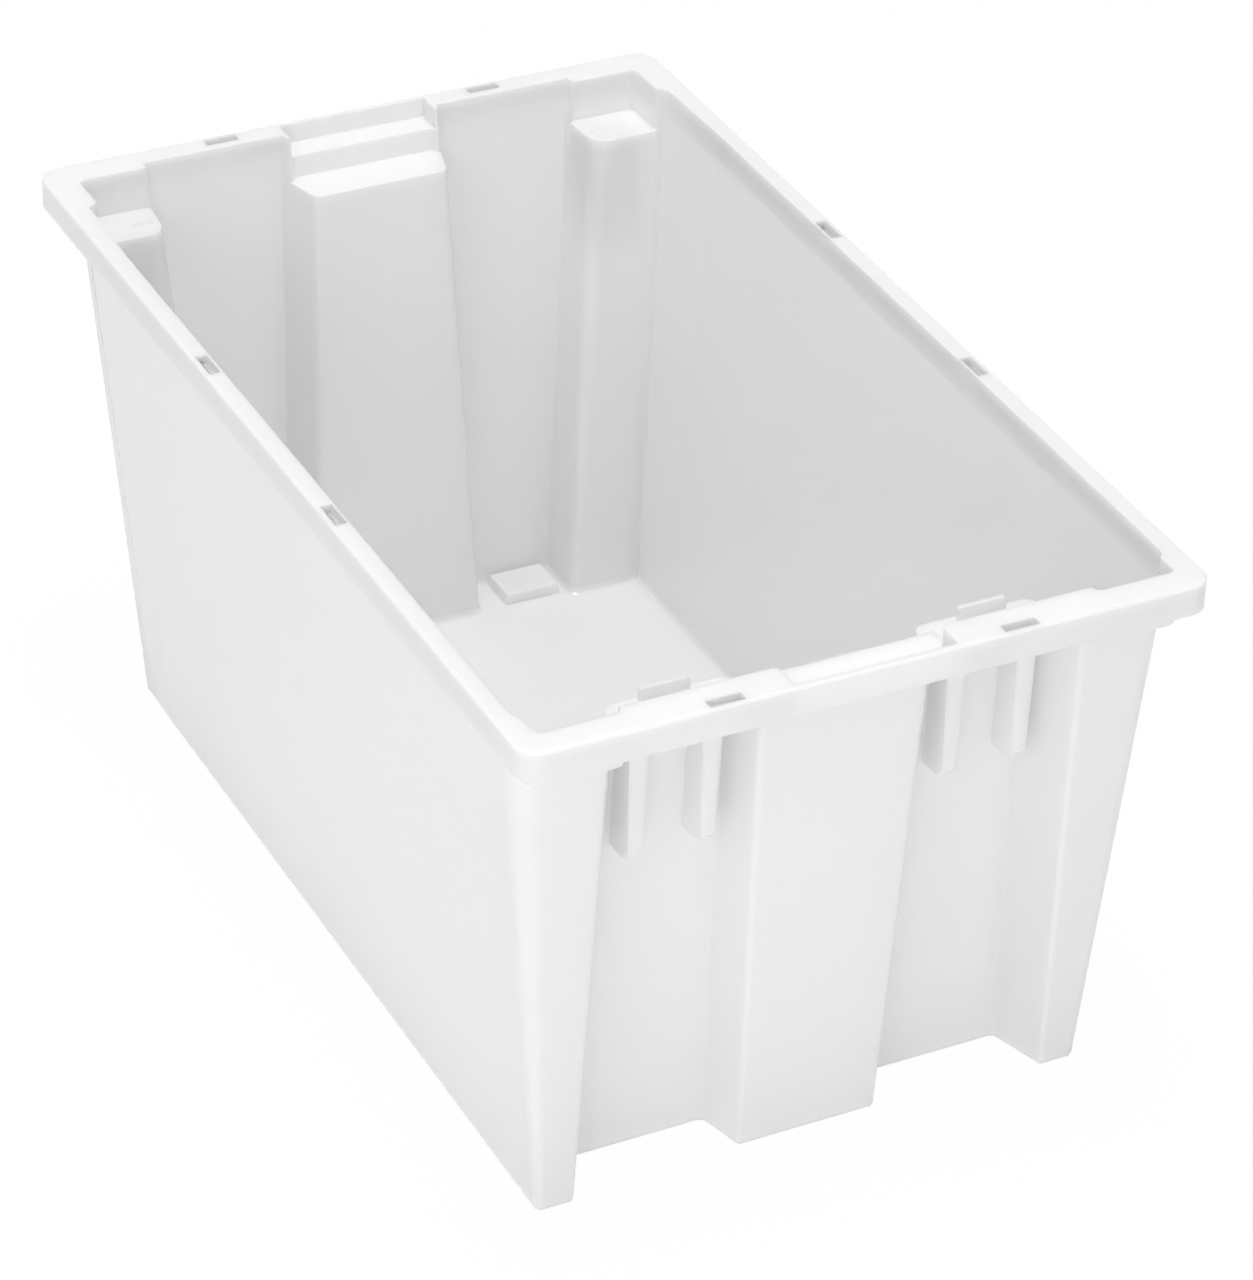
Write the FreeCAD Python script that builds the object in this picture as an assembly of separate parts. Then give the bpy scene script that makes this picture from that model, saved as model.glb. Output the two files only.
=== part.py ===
"""Stack and nest tote: one moulded shell with outward feet at one end and inward columns at the other.

Two totes facing the same way nest, because every end wall, foot and column leans outward going up.
Turned half round, the feet of the upper tote land on the seats of the lower one and the totes stack.
Frame: millimetres, +Z up, origin under the middle of the base, +X towards the end with the three feet.
"""
import FreeCAD, Part
import math
import os

V = FreeCAD.Vector
TOUCH = 1e-6              # two heights closer than this are the same
CLEAR = 1.0               # how far a cut runs on past the surface that it opens

# Overall size.
LENGTH = 457.2            # over the rim
WIDTH = 279.4             # over the rim
HEIGHT = 228.6
WALL = 2.7
FLOOR = 3.0
HALF_L = LENGTH / 2
HALF_W = WIDTH / 2

# Rim.
RIM_DROP = 12.4           # height of the turned-down skirt
RIM_SKIN = 2.6            # thickness of the skirt
RIM_PLATE = 2.7           # thickness of the flat flange
RIM_CORNER = 9.0          # plan radius of the rim corners
RIM_EDGE = 1.2            # rounding along the top outer edge
SKIRT_Z = HEIGHT - RIM_DROP
PLATE_Z = HEIGHT - RIM_PLATE

# Side walls.
SIDE_INSET_LOW = 23.7     # rim edge to wall, at the base
SIDE_INSET_HIGH = 4.9     # rim edge to wall, at the skirt
SIDE_END_LOW = 24.1       # the same two where the wall runs into a far corner column
SIDE_END_HIGH = 7.4
BASE_ROUND = 2.2          # rounding around the bottom edge
ROUND_FOOT = (0.0, 0.75)  # height and inset of the lowest outline, as shares of that rounding
ROUND_MIDDLE = (0.3, 0.27)

# End with the three feet.
CORNER_FOOT_LOW = 25.6    # rim edge to the face of a corner foot, at the base
CORNER_FOOT_HIGH = 18.2
CENTRE_FOOT_LOW = 29.8
CENTRE_FOOT_HIGH = 21.4
PANEL_LOW = 49.3          # rim edge to the sunk panel between two feet
PANEL_HIGH = 39.8
CENTRE_FOOT_HALF_LOW = 29.2
CENTRE_FOOT_HALF_HIGH = 34.6
CENTRE_ROOT_HALF_LOW = 34.5
CENTRE_ROOT_HALF_HIGH = 41.0
CORNER_ROOT_LOW = 46.6    # side rim edge to the panel, measured across
CORNER_ROOT_HIGH = 55.0
CORNER_FACE_LOW = 39.0
CORNER_FACE_HIGH = 43.0

# End with the three columns.
CHANNEL_LOW = 35.0        # rim edge to the wall between two columns, at the base
CHANNEL_HIGH = 8.9
CORNER_COLUMN_LOW = 59.2
CORNER_COLUMN_HIGH = 32.8
CENTRE_COLUMN_LOW = 56.1
CENTRE_COLUMN_HIGH = 30.0
CENTRE_COLUMN_HALF_LOW = 35.7
CENTRE_COLUMN_HALF_HIGH = 27.6
CHANNEL_INNER_LOW = 41.3
CHANNEL_INNER_HIGH = 33.6
CHANNEL_OUTER_LOW = 57.5  # side rim edge to the channel's outer flank, measured across
CHANNEL_OUTER_HIGH = 41.5
COLUMN_FACE_LOW = 56.5
COLUMN_FACE_HIGH = 39.0
WALL_TURN = 80.0          # rim edge to where the side wall starts to draw in towards the corner column
CORNER_LIP = 5.6          # the side wall runs past the column by this much at the base
CORNER_LIP_TOP = 0.8

# Seats near the top.
SEAT_DEPTH = 18.6         # below the rim
SEAT_Z = HEIGHT - SEAT_DEPTH
SEAT_BACK_FEET = 15.3     # rim edge to the upright behind the seats, end with feet
SEAT_BACK_CORNER = 12.1
SEAT_BACK_COLUMN = 14.2   # the same, end with columns
CHEEK_FOOT = 3.4          # how far the flank beside a column seat leans out over the seat's back edge
CORNER_SEAT_NEAR = 44.3   # side rim edge to the inner side of a corner column's pocket
SEAT_SPLIT = 43.7         # side rim edge to the step between panel seat and corner
COLUMN_SEAT_SIDE = 13.2   # side rim edge to the upright beside a corner seat
SEAT_ROUND = 3.0
SEAT_LAND = 1.0           # how far a seat cut runs on into the open inside

# Hand grips.
GRIP_DROP = 8.6           # the rim dips by this much over each grip
GRIP_HALF = 33.0
GRIP_LIP = 2.6
GRIP_Z = HEIGHT - GRIP_DROP

# Locating tabs and the bosses that take them.
TAB_OFFSET = 65.0         # across, from the middle
TAB_WIDTH = 20.0
TAB_THICK = 2.0
TAB_HEIGHT = 6.2
TAB_INSET = 39.4          # rim edge to the tab
TAB_ROUND = 1.5
BOSS_OFFSET = 63.6
BOSS_WIDTH = 27.0
BOSS_LENGTH = 21.0
BOSS_INSET = 37.6         # rim edge to the outer end of the boss
BOSS_HEIGHT = 4.4         # above the floor
BOSS_LEAN = 1.6

# Ribs, gussets and rim slots.
PILLAR_NEAR = 50.1        # across, from the middle
PILLAR_FAR = 79.6
PILLAR_FACE = 28.6        # rim edge to the face of a pillar
PILLAR_TOP = 8.6          # width under the seat
PILLAR_FOOT = 6.0         # width at its lower end
PILLAR_LENGTH = 62.0
PILLAR_NOSE = 4.0
SEAT_RIB_INSET = (36.2, 23.2)   # side rim edge to the two ribs under a corner seat
SEAT_RIB_WIDTH = (6.0, 3.0)
SEAT_RIB_LENGTH = 56.0
SLOT_OFFSET = 59.5        # across, from the middle, both ends
SLOT_SPACING = 59.0       # along, from the middle, both sides
SLOT_LENGTH = 14.0
SLOT_WIDTH = 4.4
SLOT_INSET = 4.2          # rim edge to the middle of a slot
GUSSET_THICK = 2.4
GUSSET_DROP = 16.0
WEB_THICK = 1.8
MARK_OFFSET = 104.2       # across, from the middle, to the low line on a corner seat
MARK_INSET = 26.6         # rim edge to the line
MARK_LENGTH = 8.6
MARK_WIDTH = 1.2
MARK_HEIGHT = 0.4

# Corner radii, low and high.
R_FOOT = (1.6, 3.2)
R_ROOT = (2.5, 3.0)
R_CORNER = (3.0, 10.0)
R_COLUMN = (0.6, 5.4)
R_CENTRE = (0.6, 0.8)
R_CHANNEL = (3.6, 3.6)
R_END = (3.2, 6.7)
R_LEAST = 0.5


def level(low, high, z):
    """A value that runs straight from the base to the skirt and on past it."""
    return low + (high - low) * z / SKIRT_Z


def half_outline(z):
    """Corners of the outer wall for positive y, from the centre foot round to the centre column.

    Each corner carries its radius and whether the radius grows (1) or shrinks (-1) going outward.
    """
    foot = HALF_L - level(CENTRE_FOOT_LOW, CENTRE_FOOT_HIGH, z)
    panel = HALF_L - level(PANEL_LOW, PANEL_HIGH, z)
    corner = HALF_L - level(CORNER_FOOT_LOW, CORNER_FOOT_HIGH, z)
    side = HALF_W - level(SIDE_INSET_LOW, SIDE_INSET_HIGH, min(z, SKIRT_Z))
    column = HALF_L - level(CORNER_COLUMN_LOW, CORNER_COLUMN_HIGH, z)
    channel = HALF_L - level(CHANNEL_LOW, CHANNEL_HIGH, z)
    centre = HALF_L - level(CENTRE_COLUMN_LOW, CENTRE_COLUMN_HIGH, z)
    turn = HALF_L - WALL_TURN
    end_side = HALF_W - level(SIDE_END_LOW, SIDE_END_HIGH, z)
    return [
        (foot, level(CENTRE_FOOT_HALF_LOW, CENTRE_FOOT_HALF_HIGH, z), R_FOOT, 1),
        (panel, level(CENTRE_ROOT_HALF_LOW, CENTRE_ROOT_HALF_HIGH, z), R_ROOT, -1),
        (panel, HALF_W - level(CORNER_ROOT_LOW, CORNER_ROOT_HIGH, z), R_ROOT, -1),
        (corner, HALF_W - level(CORNER_FACE_LOW, CORNER_FACE_HIGH, z), R_FOOT, 1),
        (corner, side, R_CORNER, 1),
        (-turn, side, None, 1),
        (-column, end_side, R_END, 1),
        (-column, HALF_W - level(COLUMN_FACE_LOW, COLUMN_FACE_HIGH, z), R_COLUMN, -1),
        (-channel, HALF_W - level(CHANNEL_OUTER_LOW, CHANNEL_OUTER_HIGH, z), R_CHANNEL, 1),
        (-channel, level(CHANNEL_INNER_LOW, CHANNEL_INNER_HIGH, z), R_CHANNEL, 1),
        (-centre, level(CENTRE_COLUMN_HALF_LOW, CENTRE_COLUMN_HALF_HIGH, z), R_CENTRE, -1),
    ]


def full_outline(z):
    """The half outline and its mirror image, anticlockwise."""
    half = half_outline(z)
    return half + [(x, -y, r, grow) for x, y, r, grow in reversed(half)]


def inset_corners(corners, distance):
    """Moves every side of a closed outline inward and meets the sides again at new corners."""
    moved = []
    count = len(corners)
    for i in range(count):
        a, b, c = corners[i - 1], corners[i], corners[(i + 1) % count]
        first = shifted_line(a, b, distance)
        second = shifted_line(b, c, distance)
        moved.append(meet(first, second))
    return moved


def shifted_line(a, b, distance):
    """The line through a and b moved to its left, as a point and a direction."""
    dx, dy = b[0] - a[0], b[1] - a[1]
    size = math.hypot(dx, dy)
    return (a[0] - dy / size * distance, a[1] + dx / size * distance, dx / size, dy / size)


def meet(first, second):
    """Where two lines cross."""
    px, py, dx, dy = first
    qx, qy, ex, ey = second
    along = ((qx - px) * ey - (qy - py) * ex) / (dx * ey - dy * ex)
    return (px + along * dx, py + along * dy)


def rounded_wire(points, radii, z):
    """A closed flat wire with each corner rounded by its own radius; None leaves it sharp."""
    edges = []
    count = len(points)
    starts, ends = [], []
    for i in range(count):
        here = V(points[i][0], points[i][1], z)
        before = V(points[i - 1][0], points[i - 1][1], z)
        after = V(points[(i + 1) % count][0], points[(i + 1) % count][1], z)
        back, ahead = (before - here).normalize(), (after - here).normalize()
        if radii[i] is None:
            starts.append(here)
            ends.append((here, None))
            continue
        half = back.getAngle(ahead) / 2
        reach = radii[i] / math.tan(half)
        middle = (back + ahead).normalize() * (radii[i] / math.sin(half) - radii[i])
        starts.append(here + back * reach)
        ends.append((here + ahead * reach, here + middle))
    for i in range(count):
        end, middle = ends[i]
        if middle is not None:
            edges.append(Part.Arc(starts[i], middle, end).toShape())
        edges.append(Part.LineSegment(end, starts[(i + 1) % count]).toShape())
    return Part.Wire(edges)


def wall_wire(z, inward=0.0):
    """The wall outline at one height, moved inward by a distance."""
    corners = full_outline(z)
    points = inset_corners(corners, inward) if inward else [(c[0], c[1]) for c in corners]
    radii = []
    for _, _, pair, grow in corners:
        radii.append(None if pair is None else max(R_LEAST, level(*pair, z) - grow * inward))
    return rounded_wire(points, radii, z)


def wall_sections(bottom, inward):
    """Wall outlines from a bottom face with a rounded edge up to the skirt."""
    rounded = [wall_wire(bottom + BASE_ROUND * height, inward + BASE_ROUND * inset)
               for height, inset in (ROUND_FOOT, ROUND_MIDDLE)]
    return rounded + [wall_wire(bottom + BASE_ROUND, inward), wall_wire(SKIRT_Z, inward)]


def shell_body():
    """Outside of the tote below the rim."""
    return Part.makeLoft(wall_sections(0, 0.0) + [wall_wire(PLATE_Z + RIM_PLATE / 2)], True, True)


def cavity():
    """The inside, from the floor up through the rim."""
    return Part.makeLoft(wall_sections(FLOOR, WALL) + [wall_wire(HEIGHT + CLEAR, WALL)], True, True)


def block(x0, x1, y0, y1, z0, z1, radius=0.0):
    """An upright block given by its limits, with its upright edges rounded where a radius is given."""
    x0, x1 = sorted((x0, x1))
    y0, y1 = sorted((y0, y1))
    body = Part.makeBox(x1 - x0, y1 - y0, z1 - z0, V(x0, y0, z0))
    if radius:
        upright = [e for e in body.Edges if abs(e.Vertexes[0].Z - e.Vertexes[1].Z) > (z1 - z0) / 2]
        body = body.makeFillet(radius, upright)
    return body


def panel_seats(grow):
    """Space over the seats between and beside the three feet; grown, it is the solid round that space."""
    low = SEAT_Z - (FLOOR if grow else 0)
    high = PLATE_Z + RIM_PLATE / 2 if grow else HEIGHT + CLEAR
    r = SEAT_ROUND + grow
    inner = HALF_L - PANEL_HIGH - WALL - SEAT_LAND
    split = HALF_W - SEAT_SPLIT
    side = HALF_W - SIDE_INSET_HIGH - WALL - SEAT_LAND
    start = GRIP_HALF if grow else GRIP_HALF + WALL
    pockets = []
    for s in (1, -1):
        pockets.append(block(inner - SEAT_ROUND - grow, HALF_L - SEAT_BACK_FEET + grow,
                             s * start, s * (split + SEAT_ROUND + grow), low, high, r))
        pockets.append(block(inner - SEAT_ROUND, HALF_L - SEAT_BACK_CORNER + grow,
                             s * (split - grow), s * (side + grow - SEAT_ROUND / 2), low, high, r))
    if not grow:
        pockets.append(block(inner, grip_inner_x(), -split / 2, split / 2, low, high))
    return pockets


def column_seats(grow):
    """Space over the seats of the three columns; grown, it is the solid round that space."""
    low = SEAT_Z - (FLOOR if grow else 0)
    high = PLATE_Z + RIM_PLATE / 2 if grow else HEIGHT + CLEAR
    r = SEAT_ROUND + grow
    back = -(HALF_L - SEAT_BACK_COLUMN + grow)
    front = -(HALF_L - CORNER_COLUMN_HIGH - WALL - SEAT_LAND - BASE_ROUND) + r + grow
    far_side = HALF_W - COLUMN_SEAT_SIDE + grow
    near_side = HALF_W - CORNER_SEAT_NEAR - grow
    centre = GRIP_HALF + grow
    return [block(back, front, -centre, centre, low, high, r),
            block(back, front, near_side, far_side, low, high, r),
            block(back, front, -near_side, -far_side, low, high, r)]


def flank_reliefs():
    """Takes the channel flanks down beside the column seats, so that each ends in a leaning edge."""
    back = -(HALF_L - SEAT_BACK_COLUMN)
    front = -(HALF_L - CORNER_COLUMN_HIGH - WALL - SEAT_LAND - BASE_ROUND)
    top = HEIGHT + CLEAR
    profile = [(back, HEIGHT), (back + CHEEK_FOOT, SEAT_Z), (front, SEAT_Z), (front, top), (back, top)]
    centre = CHANNEL_INNER_HIGH + 2 * WALL
    inner, outer = HALF_W - CHANNEL_OUTER_HIGH - 3 * WALL, HALF_W - CORNER_SEAT_NEAR + SEAT_ROUND
    cuts = []
    for y0, y1 in ((-centre, centre), (inner, outer), (-outer, -inner)):
        cuts.append(plate_from([V(x, y0, z) for x, z in profile], V(0, y1 - y0, 0)))
    return cuts


def grip_inner_x():
    """Inner end of the ledge over the centre foot, flush with the inside of the foot below it."""
    return HALF_L - level(CENTRE_FOOT_LOW, CENTRE_FOOT_HIGH, SEAT_Z) - WALL


def rim_frame():
    """Flat flange with a turned-down skirt, rounded at its corners and along its top outer edge."""
    outer = block(-HALF_L, HALF_L, -HALF_W, HALF_W, SKIRT_Z, HEIGHT, RIM_CORNER)
    top = [e for e in outer.Edges if e.BoundBox.ZMin > HEIGHT - TOUCH]
    outer = outer.makeFillet(RIM_EDGE, top)
    hollow = block(-HALF_L + RIM_SKIN, HALF_L - RIM_SKIN, -HALF_W + RIM_SKIN, HALF_W - RIM_SKIN,
                   SKIRT_Z - CLEAR, PLATE_Z, RIM_CORNER - RIM_SKIN)
    return outer.cut(hollow)


def grip_ledges():
    """The lowered rim over both hand grips, and the two short uprights that close each dip."""
    near, far = HALF_L - SEAT_BACK_FEET, HALF_L - SEAT_BACK_COLUMN
    width = GRIP_HALF + WALL
    near_lip, far_lip = HALF_L - GRIP_LIP / 2, -HALF_L + GRIP_LIP / 2
    return [block(grip_inner_x(), near_lip, -width, width, GRIP_Z - RIM_PLATE, GRIP_Z),
            block(near, near_lip, -width, width, GRIP_Z - RIM_PLATE, HEIGHT - RIM_EDGE),
            block(-far, far_lip, -width, width, GRIP_Z - RIM_PLATE, HEIGHT - RIM_EDGE)]


def grip_dips():
    """Clear space over both grip ledges."""
    near_inner = grip_inner_x() - 2 * WALL
    far_inner = HALF_L - SEAT_BACK_COLUMN - 2 * WALL
    back, lip = HALF_L - SEAT_BACK_FEET, HALF_L - GRIP_LIP
    wide = GRIP_HALF + WALL + 2 * SEAT_ROUND
    half = [(lip, GRIP_HALF, None), (back, GRIP_HALF, SEAT_ROUND), (back, wide, None),
            (near_inner, wide, None)]
    ring = half + [(x, -y, r) for x, y, r in reversed(half)]
    near = rounded_wire([(x, y) for x, y, _ in ring], [r for _, _, r in ring], GRIP_Z)
    return [Part.Face(near).extrude(V(0, 0, HEIGHT + CLEAR - GRIP_Z)),
            block(-far_inner, -HALF_L + GRIP_LIP, -GRIP_HALF, GRIP_HALF, GRIP_Z, HEIGHT + CLEAR)]


def corner_lips():
    """The short run of side wall that stands past each far corner column."""
    lips = []
    for s in (1, -1):
        wires = []
        for z, lip in ((BASE_ROUND, CORNER_LIP), (SKIRT_Z, CORNER_LIP_TOP)):
            end = -(HALF_L - level(CORNER_COLUMN_LOW, CORNER_COLUMN_HIGH, z))
            side = HALF_W - level(SIDE_END_LOW, SIDE_END_HIGH, z)
            corners = [(end + WALL, s * side), (end - lip, s * side), (end - lip, s * (side - WALL)),
                       (end + WALL, s * (side - WALL))]
            wires.append(polygon(corners, z))
        lips.append(Part.makeLoft(wires, True, True))
    return lips


def tabs():
    """Two upright plates on the panel seats that locate the tote stacked above."""
    plates = []
    for s in (1, -1):
        x = HALF_L - TAB_INSET
        y = s * TAB_OFFSET
        plate = block(x - TAB_THICK / 2, x + TAB_THICK / 2, y - TAB_WIDTH / 2, y + TAB_WIDTH / 2,
                      SEAT_Z - FLOOR / 2, SEAT_Z + TAB_HEIGHT)
        ends = [e for e in plate.Edges if abs(e.BoundBox.ZMin - SEAT_Z - TAB_HEIGHT) < TOUCH
                and e.BoundBox.XMax - e.BoundBox.XMin > TAB_THICK / 2]
        plates.append(plate.makeFillet(TAB_ROUND, ends))
    return plates


def polygon(corners, z):
    """A closed flat outline with sharp corners."""
    return Part.makePolygon([V(x, y, z) for x, y in corners + corners[:1]])


def frustum(x0, x1, y0, y1, z0, z1, lean):
    """A block whose four sides lean inward going up."""
    low = [(x0, y0), (x1, y0), (x1, y1), (x0, y1)]
    x0, x1, y0, y1 = x0 + lean, x1 - lean, y0 + lean, y1 - lean
    high = [(x0, y0), (x1, y0), (x1, y1), (x0, y1)]
    return Part.makeLoft([polygon(low, z0), polygon(high, z1)], True, True)


def floor_bosses(inward):
    """Raised blocks in the channel floors; moved inward by the wall they are the recess underneath."""
    bosses = []
    for s in (1, -1):
        x0 = -(HALF_L - BOSS_INSET) + inward
        x1 = x0 + BOSS_LENGTH - 2 * inward
        y0 = s * BOSS_OFFSET - BOSS_WIDTH / 2 + inward
        z0, z1 = (-CLEAR, FLOOR + BOSS_HEIGHT - WALL) if inward else (FLOOR / 2, FLOOR + BOSS_HEIGHT)
        bosses.append(frustum(x0, x1, y0, y0 + BOSS_WIDTH - 2 * inward, z0, z1, BOSS_LEAN))
    return bosses


def pillars():
    """Four tapered uprights that hold the panel seats from outside, with a sloping lower end."""
    made = []
    top, foot = SEAT_Z - FLOOR / 2, SEAT_Z - PILLAR_LENGTH
    face = HALF_L - PILLAR_FACE
    root = HALF_L - level(PANEL_LOW, PANEL_HIGH, foot) - WALL / 2
    for y in (PILLAR_NEAR, PILLAR_FAR, -PILLAR_NEAR, -PILLAR_FAR):
        wires = []
        for z, width, reach in ((foot, PILLAR_FOOT, face - PILLAR_NOSE),
                                (foot + PILLAR_NOSE, PILLAR_FOOT, face), (top, PILLAR_TOP, face)):
            y0, y1 = y - width / 2, y + width / 2
            wires.append(polygon([(root, y0), (reach, y0), (reach, y1), (root, y1)], z))
        made.append(Part.makeLoft(wires, True, True))
    return made


def seat_ribs():
    """Two upright ribs under each far corner seat, between the column face and the seat."""
    made = []
    top, foot = SEAT_Z - FLOOR / 2, SEAT_Z - SEAT_RIB_LENGTH
    for s in (1, -1):
        for inset, width in zip(SEAT_RIB_INSET, SEAT_RIB_WIDTH):
            y = s * (HALF_W - inset) - width / 2
            root_top = -(HALF_L - level(CORNER_COLUMN_LOW, CORNER_COLUMN_HIGH, top)) + WALL / 2
            root_foot = -(HALF_L - level(CORNER_COLUMN_LOW, CORNER_COLUMN_HIGH, foot)) + WALL / 2
            reach = -(HALF_L - SEAT_BACK_COLUMN)
            outline = [V(root_foot, y, foot), V(root_top, y, top), V(reach, y, top),
                       V(reach, y, foot + SEAT_RIB_LENGTH / 2)]
            made.append(plate_from(outline, V(0, width, 0)))
    return made


def rim_slots():
    """Through slots in the flange for a lid, two on each side and two at each end."""
    cuts = []
    for s in (1, -1):
        across, along = s * (HALF_W - SLOT_INSET), s * (HALF_L - SLOT_INSET)
        for t in (1, -1):
            cuts.append(slot_at(t * SLOT_SPACING, across, SLOT_LENGTH, SLOT_WIDTH))
            cuts.append(slot_at(along, t * SLOT_OFFSET, SLOT_WIDTH, SLOT_LENGTH))
    return cuts


def slot_at(x, y, along, across):
    """A slot through the flange with its middle at x, y."""
    return block(x - along / 2, x + along / 2, y - across / 2, y + across / 2,
                 PLATE_Z - CLEAR, HEIGHT + CLEAR)


def gussets():
    """Small triangles outside the walls, tucked under the flange beside the slots."""
    made = []
    top = PLATE_Z + RIM_PLATE / 2
    foot = top - GUSSET_DROP
    for s in (1, -1):
        y = s * (SLOT_OFFSET - SLOT_LENGTH / 2 - GUSSET_THICK)
        wall_top = -(HALF_L - level(CHANNEL_LOW, CHANNEL_HIGH, top)) + WALL / 2
        wall_foot = -(HALF_L - level(CHANNEL_LOW, CHANNEL_HIGH, foot)) + WALL / 2
        outline = [V(wall_foot, y, foot), V(wall_top, y, top), V(-HALF_L + RIM_SKIN / 2, y, top)]
        made.append(plate_from(outline, V(0, GUSSET_THICK, 0)))
        for t in (1, -1):
            x = t * (SLOT_SPACING - SLOT_LENGTH / 2 - GUSSET_THICK)
            side_top = s * (HALF_W - level(SIDE_INSET_LOW, SIDE_INSET_HIGH, top) - WALL / 2)
            side_foot = s * (HALF_W - level(SIDE_INSET_LOW, SIDE_INSET_HIGH, foot) - WALL / 2)
            outline = [V(x, side_foot, foot), V(x, side_top, top), V(x, s * (HALF_W - RIM_SKIN / 2), top)]
            made.append(plate_from(outline, V(GUSSET_THICK, 0, 0)))
    return made


def plate_from(corners, thickness):
    """A flat plate made from its corners and pushed out by its thickness."""
    return Part.Face(Part.makePolygon(corners + corners[:1])).extrude(thickness)


def rim_webs():
    """Upright webs behind the end skirt, below the flange."""
    made = []
    for y in (GRIP_HALF + WALL / 2, SLOT_OFFSET - SLOT_LENGTH / 2 - GUSSET_THICK):
        for s in (1, -1):
            made.append(block(HALF_L - SEAT_BACK_FEET + WALL / 2, HALF_L - RIM_SKIN / 2,
                              s * y - WEB_THICK / 2, s * y + WEB_THICK / 2,
                              SKIRT_Z, PLATE_Z + RIM_PLATE / 2))
    return made


def seat_marks():
    """A low raised line on each far corner seat."""
    x = -(HALF_L - MARK_INSET)
    return [block(x - MARK_WIDTH / 2, x + MARK_WIDTH / 2, s * MARK_OFFSET - MARK_LENGTH / 2,
                  s * MARK_OFFSET + MARK_LENGTH / 2, SEAT_Z - CLEAR, SEAT_Z + MARK_HEIGHT) for s in (1, -1)]


def build_tote():
    """Everything that is added, then everything that is taken away, then the parts that stand in the open."""
    added = [rim_frame()] + panel_seats(WALL) + column_seats(WALL) + grip_ledges() + corner_lips()
    added += pillars() + seat_ribs() + gussets() + rim_webs()
    body = shell_body().multiFuse(added)
    taken = [cavity()] + panel_seats(0.0) + column_seats(0.0) + flank_reliefs() + grip_dips() + rim_slots()
    for cut in taken:
        body = body.cut(cut)
    body = body.multiFuse(tabs() + floor_bosses(0.0) + seat_marks())
    for cut in floor_bosses(WALL):
        body = body.cut(cut)
    return body.removeSplitter()


os.makedirs("parts", exist_ok=True)
tote = build_tote()
print("solids", len(tote.Solids), "volume cm3", round(tote.Volume / 1000, 1), "valid", tote.isValid())
tote.Solids[0].exportStep("parts/tote_body.step")
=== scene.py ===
# %% [markdown]
# # A stack and nest tote in translucent plastic
# The real object is one injection moulding: a milky, half-clear tub with a rim that is turned down all round,
# three feet that stand out at one end and three columns that stand in at the other. Nothing on it moves. Its
# exact shape was built beforehand and is imported here as a fixed frame, so this lesson is about looks: the
# soft, cloudy plastic, the small marks that moulding leaves, and the light of a white photographer's tent.

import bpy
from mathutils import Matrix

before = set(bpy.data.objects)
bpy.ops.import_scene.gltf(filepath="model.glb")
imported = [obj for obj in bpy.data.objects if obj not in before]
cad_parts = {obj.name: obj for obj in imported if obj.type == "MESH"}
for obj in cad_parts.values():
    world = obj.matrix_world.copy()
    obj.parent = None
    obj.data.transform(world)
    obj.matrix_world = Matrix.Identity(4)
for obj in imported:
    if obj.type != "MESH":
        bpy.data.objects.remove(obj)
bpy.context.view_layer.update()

# %% Libraries
import math

import bpy
from mathutils import Matrix, Vector

MM = 0.001
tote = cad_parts["tote_body"]
print("tote faces", len(tote.data.polygons), "slots", [s.name for s in tote.material_slots])

# %% [markdown]
# ## The camera
# The photograph looks down into the tub from about a third of the way up, from the end with the feet. Its place
# was solved from the corners of the rim and the base. A long lens far away keeps the edges nearly parallel, as in
# the photograph. Azimuth, elevation and roll are easier to read than a matrix, so the camera is turned by them.

# %% Place the camera
AZIMUTH, ELEVATION, ROLL = math.radians(62.174), math.radians(32.876), math.radians(2.31)
CAMERA_AT = Vector((1.56004, -0.81105, 1.26213))
PHOTO_SIZE = (1253, 1280)
FOCAL_PIXELS = 5293.2
OPTICAL_AXIS = (612.12, 590.51)
SENSOR = 36.0

back = Vector((math.sin(AZIMUTH) * math.cos(ELEVATION), -math.cos(AZIMUTH) * math.cos(ELEVATION),
               math.sin(ELEVATION)))
level_right = Vector((math.cos(AZIMUTH), math.sin(AZIMUTH), 0))
level_up = back.cross(level_right)
right = level_right * math.cos(ROLL) + level_up * math.sin(ROLL)
up = back.cross(right)
camera = bpy.data.objects.new("camera", bpy.data.cameras.new("camera"))
bpy.context.scene.collection.objects.link(camera)
camera.matrix_world = Matrix.Translation(CAMERA_AT) @ Matrix((right, up, back)).transposed().to_4x4()
camera.data.sensor_width = SENSOR
camera.data.lens = FOCAL_PIXELS / max(PHOTO_SIZE) * SENSOR
camera.data.shift_x = (PHOTO_SIZE[0] / 2 - OPTICAL_AXIS[0]) / max(PHOTO_SIZE)
camera.data.shift_y = (OPTICAL_AXIS[1] - PHOTO_SIZE[1] / 2) / max(PHOTO_SIZE)
camera.data.clip_start, camera.data.clip_end = 0.05, 50
bpy.context.scene.camera = camera
print("lens", round(camera.data.lens, 2), "shift", round(camera.data.shift_x, 4), round(camera.data.shift_y, 4))

# %% [markdown]
# ## The skin of the moulding
# Polypropylene copies the tool steel: a fine satin grain, broad cloudy bands where the melt flowed, and now and then
# a tiny dark speck. All three are patterns over the surface, so they go into one node group with named sockets,
# read in Object coordinates, in metres. The group gives a height for the bump, a roughness and a colour.

# %% Sizes of the patterns
GRAIN_PER_METRE = 700.0
CLOUDS_PER_METRE = 11.0
SPECKS_PER_METRE = 42.0
SPECK_SHARE = 0.12
SPECK_RADIUS = 0.011


def add_node(tree, kind, **values):
    """Adds a shader node and sets its plain properties."""
    node = tree.nodes.new(kind)
    for name, value in values.items():
        setattr(node, name, value)
    return node


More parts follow.
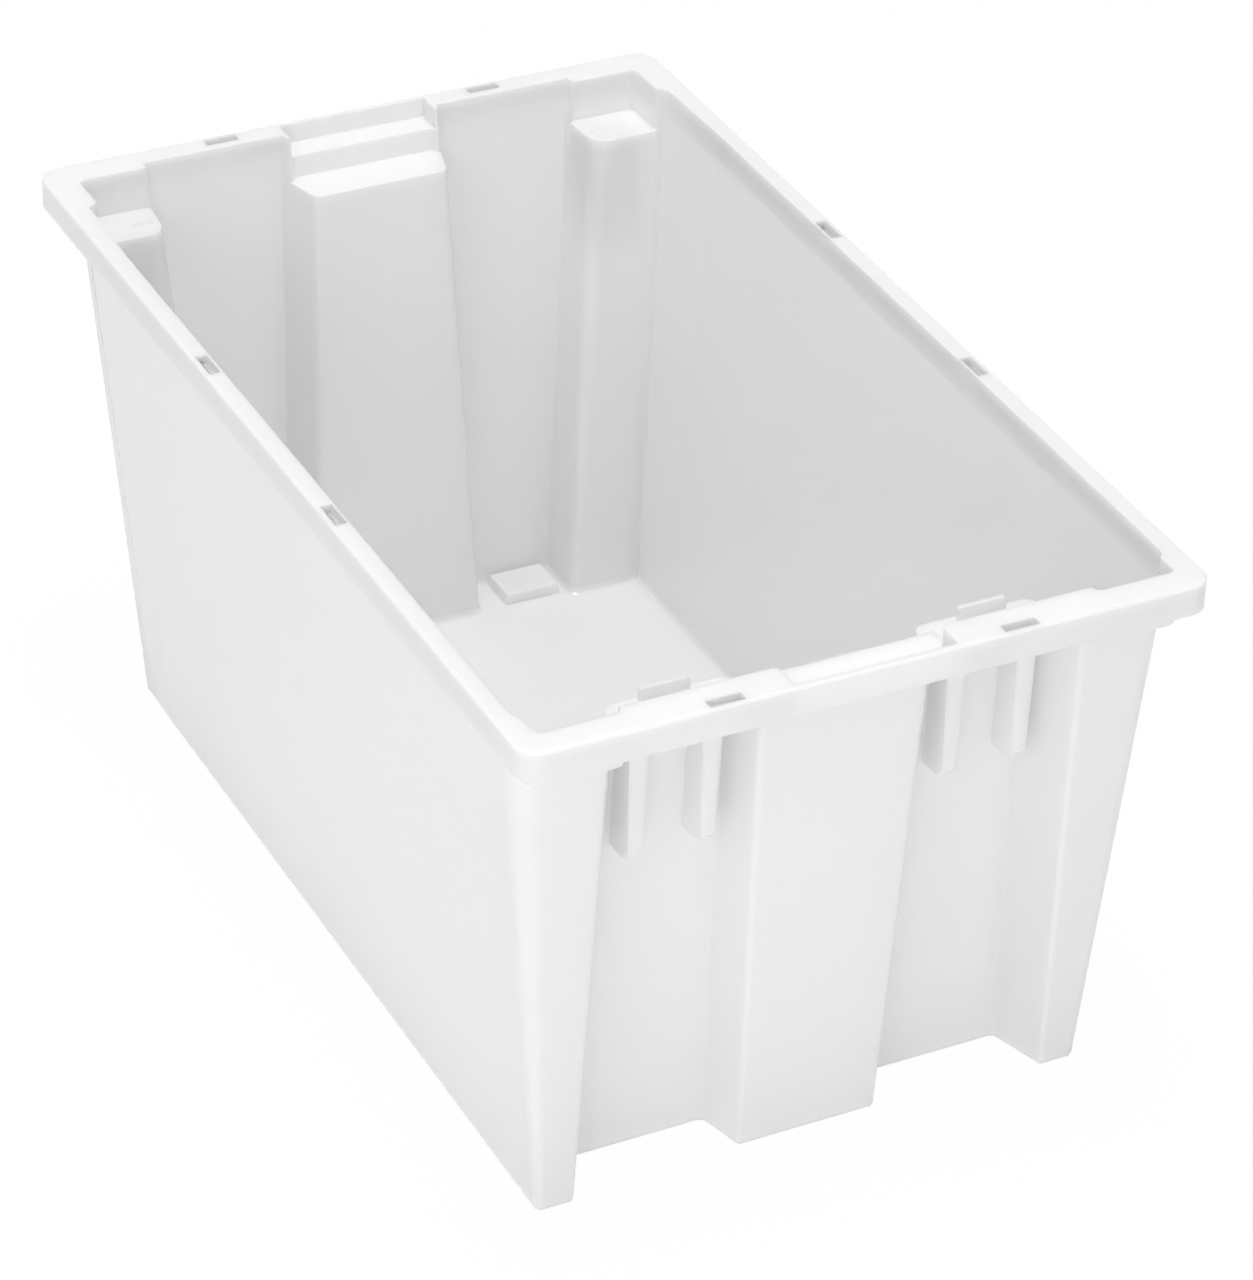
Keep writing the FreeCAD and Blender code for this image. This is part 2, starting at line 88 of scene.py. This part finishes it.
# %% Build the node group
skin = bpy.data.node_groups.new("moulded_skin", "ShaderNodeTree")
for name, kind, value in (("Grain Scale", "NodeSocketFloat", GRAIN_PER_METRE),
                          ("Cloud Scale", "NodeSocketFloat", CLOUDS_PER_METRE),
                          ("Speck Scale", "NodeSocketFloat", SPECKS_PER_METRE),
                          ("Roughness Low", "NodeSocketFloat", 0.3),
                          ("Roughness High", "NodeSocketFloat", 0.4),
                          ("Clear Colour", "NodeSocketColor", (0.97, 0.97, 0.97, 1)),
                          ("Cloudy Colour", "NodeSocketColor", (0.95, 0.95, 0.95, 1)),
                          ("Speck Colour", "NodeSocketColor", (0.35, 0.33, 0.3, 1))):
    skin.interface.new_socket(name, in_out="INPUT", socket_type=kind).default_value = value
for name, kind in (("Height", "NodeSocketFloat"), ("Roughness", "NodeSocketFloat"), ("Colour", "NodeSocketColor")):
    skin.interface.new_socket(name, in_out="OUTPUT", socket_type=kind)
entry = add_node(skin, "NodeGroupInput")
leave = add_node(skin, "NodeGroupOutput")
place = add_node(skin, "ShaderNodeTexCoord")
grain = add_node(skin, "ShaderNodeTexNoise")
grain.inputs["Detail"].default_value = 3.0
clouds = add_node(skin, "ShaderNodeTexNoise")
clouds.inputs["Detail"].default_value = 2.0
specks = add_node(skin, "ShaderNodeTexVoronoi", feature="F1")
for pattern, socket in ((grain, "Grain Scale"), (clouds, "Cloud Scale"), (specks, "Speck Scale")):
    skin.links.new(place.outputs["Object"], pattern.inputs["Vector"])
    skin.links.new(entry.outputs[socket], pattern.inputs["Scale"])
print("group inputs", [s.name for s in skin.interface.items_tree if s.in_out == "INPUT"])

# %% [markdown]
# A speck shows in only a few cells of the Voronoi pattern: the cell's own random value picks them, and the distance to
# the cell's point gives the speck its size. The cloud pattern slides the roughness and the colour between two values.

# %% Mix the group's outputs
tone = add_node(skin, "ShaderNodeMapRange", interpolation_type="SMOOTHSTEP")
tone.inputs["From Min"].default_value, tone.inputs["From Max"].default_value = 0.35, 0.65
skin.links.new(clouds.outputs["Fac"], tone.inputs["Value"])
rough = add_node(skin, "ShaderNodeMix", data_type="FLOAT")
skin.links.new(tone.outputs["Result"], rough.inputs["Factor"])
skin.links.new(entry.outputs["Roughness Low"], rough.inputs["A"])
skin.links.new(entry.outputs["Roughness High"], rough.inputs["B"])
skin.links.new(rough.outputs["Result"], leave.inputs["Roughness"])
colour = add_node(skin, "ShaderNodeMix", data_type="RGBA")
skin.links.new(tone.outputs["Result"], colour.inputs["Factor"])
skin.links.new(entry.outputs["Clear Colour"], colour.inputs[6])
skin.links.new(entry.outputs["Cloudy Colour"], colour.inputs[7])
near_point = add_node(skin, "ShaderNodeMath", operation="LESS_THAN")
near_point.inputs[1].default_value = SPECK_RADIUS
skin.links.new(specks.outputs["Distance"], near_point.inputs[0])
pick = add_node(skin, "ShaderNodeSeparateColor")
skin.links.new(specks.outputs["Color"], pick.inputs["Color"])
picked = add_node(skin, "ShaderNodeMath", operation="LESS_THAN")
picked.inputs[1].default_value = SPECK_SHARE
skin.links.new(pick.outputs["Red"], picked.inputs[0])
both = add_node(skin, "ShaderNodeMath", operation="MULTIPLY")
skin.links.new(near_point.outputs[0], both.inputs[0])
skin.links.new(picked.outputs[0], both.inputs[1])
specked = add_node(skin, "ShaderNodeMix", data_type="RGBA")
skin.links.new(both.outputs[0], specked.inputs["Factor"])
skin.links.new(colour.outputs[2], specked.inputs[6])
skin.links.new(entry.outputs["Speck Colour"], specked.inputs[7])
skin.links.new(specked.outputs[2], leave.inputs["Colour"])
skin.links.new(grain.outputs["Fac"], leave.inputs["Height"])
print("skin nodes", len(skin.nodes))

# %% [markdown]
# ## The plastic
# Natural polypropylene lets light in, scatters it and lets some straight through. One physically based shader does
# this: a small part of it is rough glass, the rest scatters light under the surface over a few millimetres, about
# twice the wall, so that light crosses the wall. A single wall loses light to the far side and looks grey. Where
# plastic lies behind plastic, at edges, ribs and under the rim, light is sent back again and it looks whiter. Under
# the rim that whiter light is painted into the colour as a painted glow, mixed from a near white towards pure white.

# %% Start the plastic
CLEARNESS = 0.16
SCATTER = 0.005
SCATTER_SHARE = 1.0
ROUGH_SPAN = (0.2, 0.24)
CLEAR_TINT = 0.965
CLOUD_TINT = 0.962
plastic = bpy.data.materials.new("milky_plastic")
plastic.use_nodes = True
tree = plastic.node_tree
shader = tree.nodes["Principled BSDF"]
shader.inputs["IOR"].default_value = 1.49
shader.inputs["Transmission Weight"].default_value = CLEARNESS
shader.inputs["Subsurface Weight"].default_value = SCATTER_SHARE
shader.inputs["Subsurface Radius"].default_value = (1, 1, 1)
shader.inputs["Subsurface Scale"].default_value = SCATTER
surface = add_node(tree, "ShaderNodeGroup", node_tree=skin)
surface.inputs["Roughness Low"].default_value = ROUGH_SPAN[0]
surface.inputs["Roughness High"].default_value = ROUGH_SPAN[1]
surface.inputs["Clear Colour"].default_value = (CLEAR_TINT, CLEAR_TINT, CLEAR_TINT, 1)
surface.inputs["Cloudy Colour"].default_value = (CLOUD_TINT, CLOUD_TINT, CLOUD_TINT, 1)
bump = add_node(tree, "ShaderNodeBump")
bump.inputs["Strength"].default_value = 0.12
bump.inputs["Distance"].default_value = 0.0002
tree.links.new(surface.outputs["Height"], bump.inputs["Height"])
tree.links.new(bump.outputs["Normal"], shader.inputs["Normal"])
tree.links.new(surface.outputs["Roughness"], shader.inputs["Roughness"])
print("material", plastic.name)

# %% [markdown]
# The turned-down rim backs the top of the wall with a second layer of plastic, and light that would be lost is sent
# back there. Height alone finds that band. Ambient occlusion could look for edges and ribs as well, but it is read
# again at each bounce of the light, so it is left out.
# again at each bounce of the light: a small render took 23 seconds with it and 14 without, at like grey levels.

# %% Find the band behind the rim for the painted glow
# Painted glow: between these heights the colour is mixed towards white, painted light that stands in for light the rim
# sends back.
PAINTED_GLOW_HEIGHTS = (0.196, 0.226)
PAINTED_GLOW_SHARE = 0.4
place = add_node(tree, "ShaderNodeTexCoord")
axes = add_node(tree, "ShaderNodeSeparateXYZ")
tree.links.new(place.outputs["Object"], axes.inputs[0])
painted_glow_band = add_node(tree, "ShaderNodeMapRange", interpolation_type="SMOOTHSTEP")
painted_glow_band.inputs["From Min"].default_value, painted_glow_band.inputs["From Max"].default_value = PAINTED_GLOW_HEIGHTS
painted_glow_band.inputs["To Max"].default_value = PAINTED_GLOW_SHARE
tree.links.new(axes.outputs["Z"], painted_glow_band.inputs["Value"])
print("band from", PAINTED_GLOW_HEIGHTS[0], "to", PAINTED_GLOW_HEIGHTS[1], "m")

# %% Colour the plastic, with a painted glow under the rim
# The white that the painted glow mixes in: painted light, not a whiter plastic.
PAINTED_GLOW_TINT = 1.0
painted_glow_mix = add_node(tree, "ShaderNodeMix", data_type="RGBA")
painted_glow_mix.inputs[7].default_value = (PAINTED_GLOW_TINT, PAINTED_GLOW_TINT, PAINTED_GLOW_TINT, 1)
tree.links.new(painted_glow_band.outputs["Result"], painted_glow_mix.inputs["Factor"])
tree.links.new(surface.outputs["Colour"], painted_glow_mix.inputs[6])
tree.links.new(painted_glow_mix.outputs[2], shader.inputs["Base Color"])
for slot in tote.material_slots:
    slot.material = plastic
print("slots coloured", len(tote.material_slots))

# %% [markdown]
# ## Floor and light
# The photograph was taken in a white tent on a white sweep: the background is pure white and the shadow under the
# tote is gone. The floor is white paper. What the camera sees of it is lifted to white by mixing in an even glow,
# chosen with Light Path, so that the tote itself gets no more light from it.

# %% Choose what sees white
FLOOR_GLOW = 0.97
FLOOR_TINT = 0.9


def seen_straight(tree):
    """A value that is 1 for rays of the camera and for those that mirrors and glass pass on."""
    path = add_node(tree, "ShaderNodeLightPath")
    pair = add_node(tree, "ShaderNodeMath", operation="MAXIMUM")
    tree.links.new(path.outputs["Is Camera Ray"], pair.inputs[0])
    tree.links.new(path.outputs["Is Glossy Ray"], pair.inputs[1])
    all_three = add_node(tree, "ShaderNodeMath", operation="MAXIMUM")
    tree.links.new(pair.outputs[0], all_three.inputs[0])
    tree.links.new(path.outputs["Is Transmission Ray"], all_three.inputs[1])
    return all_three.outputs[0]


# %% Lay the floor
FLOOR_HALF = 12.0
floor_mesh = bpy.data.meshes.new("floor")
floor_mesh.from_pydata([(-FLOOR_HALF, -FLOOR_HALF, 0), (FLOOR_HALF, -FLOOR_HALF, 0), (FLOOR_HALF, FLOOR_HALF, 0),
                        (-FLOOR_HALF, FLOOR_HALF, 0)], [], [(0, 1, 2, 3)])
floor = bpy.data.objects.new("floor", floor_mesh)
bpy.context.scene.collection.objects.link(floor)
paper = bpy.data.materials.new("white_paper")
paper.use_nodes = True
tree = paper.node_tree
sheet = tree.nodes["Principled BSDF"]
sheet.inputs["Base Color"].default_value = (FLOOR_TINT, FLOOR_TINT, FLOOR_TINT, 1)
sheet.inputs["Roughness"].default_value = 0.9
glow = add_node(tree, "ShaderNodeEmission")
share = add_node(tree, "ShaderNodeMath", operation="MULTIPLY")
share.inputs[1].default_value = FLOOR_GLOW
tree.links.new(seen_straight(tree), share.inputs[0])
mix = add_node(tree, "ShaderNodeMixShader")
tree.links.new(share.outputs[0], mix.inputs[0])
tree.links.new(sheet.outputs[0], mix.inputs[1])
tree.links.new(glow.outputs[0], mix.inputs[2])
tree.links.new(mix.outputs[0], tree.nodes["Material Output"].inputs["Surface"])
floor_mesh.materials.append(paper)
print("floor glow", FLOOR_GLOW)

# %% [markdown]
# The tent is the world: an even grey-white for the light that falls on the tote, and plain white for what the camera
# sees. The lamp straight above is small and high, so that it reaches the floor of the tub as fully as the rim. Two
# weak softboxes, one to the left of the camera and one low in front, lift the near end and the long outer wall.

# %% Hang the tent
TENT_LEVEL = 0.6
world = bpy.data.worlds.new("white_tent")
bpy.context.scene.world = world
world.use_nodes = True
tree = world.node_tree
tent = tree.nodes["Background"]
tent.inputs["Color"].default_value = (1, 1, 1, 1)
tent.inputs["Strength"].default_value = TENT_LEVEL
white = add_node(tree, "ShaderNodeBackground")
white.inputs["Color"].default_value = (1, 1, 1, 1)
white.inputs["Strength"].default_value = 1.0
mix = add_node(tree, "ShaderNodeMixShader")
tree.links.new(seen_straight(tree), mix.inputs[0])
tree.links.new(tent.outputs[0], mix.inputs[1])
tree.links.new(white.outputs[0], mix.inputs[2])
tree.links.new(mix.outputs[0], tree.nodes["World Output"].inputs["Surface"])
print("tent", TENT_LEVEL)

# %% Set up the lamps
OVERHEAD_WATTS = 31.0
LEFT_WATTS = 4.0
LEFT_AT = (0.9, -1.3, 1.1)
FRONT_WATTS = 5.0
FRONT_AT = (1.4, -0.7, 0.25)


def softbox(name, at, aim, size, watts):
    """A square lamp that points at a place."""
    lamp = bpy.data.lights.new(name, "AREA")
    lamp.size = size
    lamp.energy = watts
    box = bpy.data.objects.new(name, lamp)
    bpy.context.scene.collection.objects.link(box)
    box.location = at
    box.rotation_euler = (Vector(aim) - Vector(at)).to_track_quat("-Z", "Y").to_euler()
    print(name, "at", at, watts, "W")
    return box


softbox("overhead", (0.0, 0.0, 2.6), (0, 0, 0), 0.9, OVERHEAD_WATTS)
softbox("left_softbox", LEFT_AT, (0.1, 0, 0.1), 0.8, LEFT_WATTS)
softbox("front_softbox", FRONT_AT, (0.1, 0, 0.1), 0.8, FRONT_WATTS)
bpy.context.scene.view_settings.view_transform = "Standard"
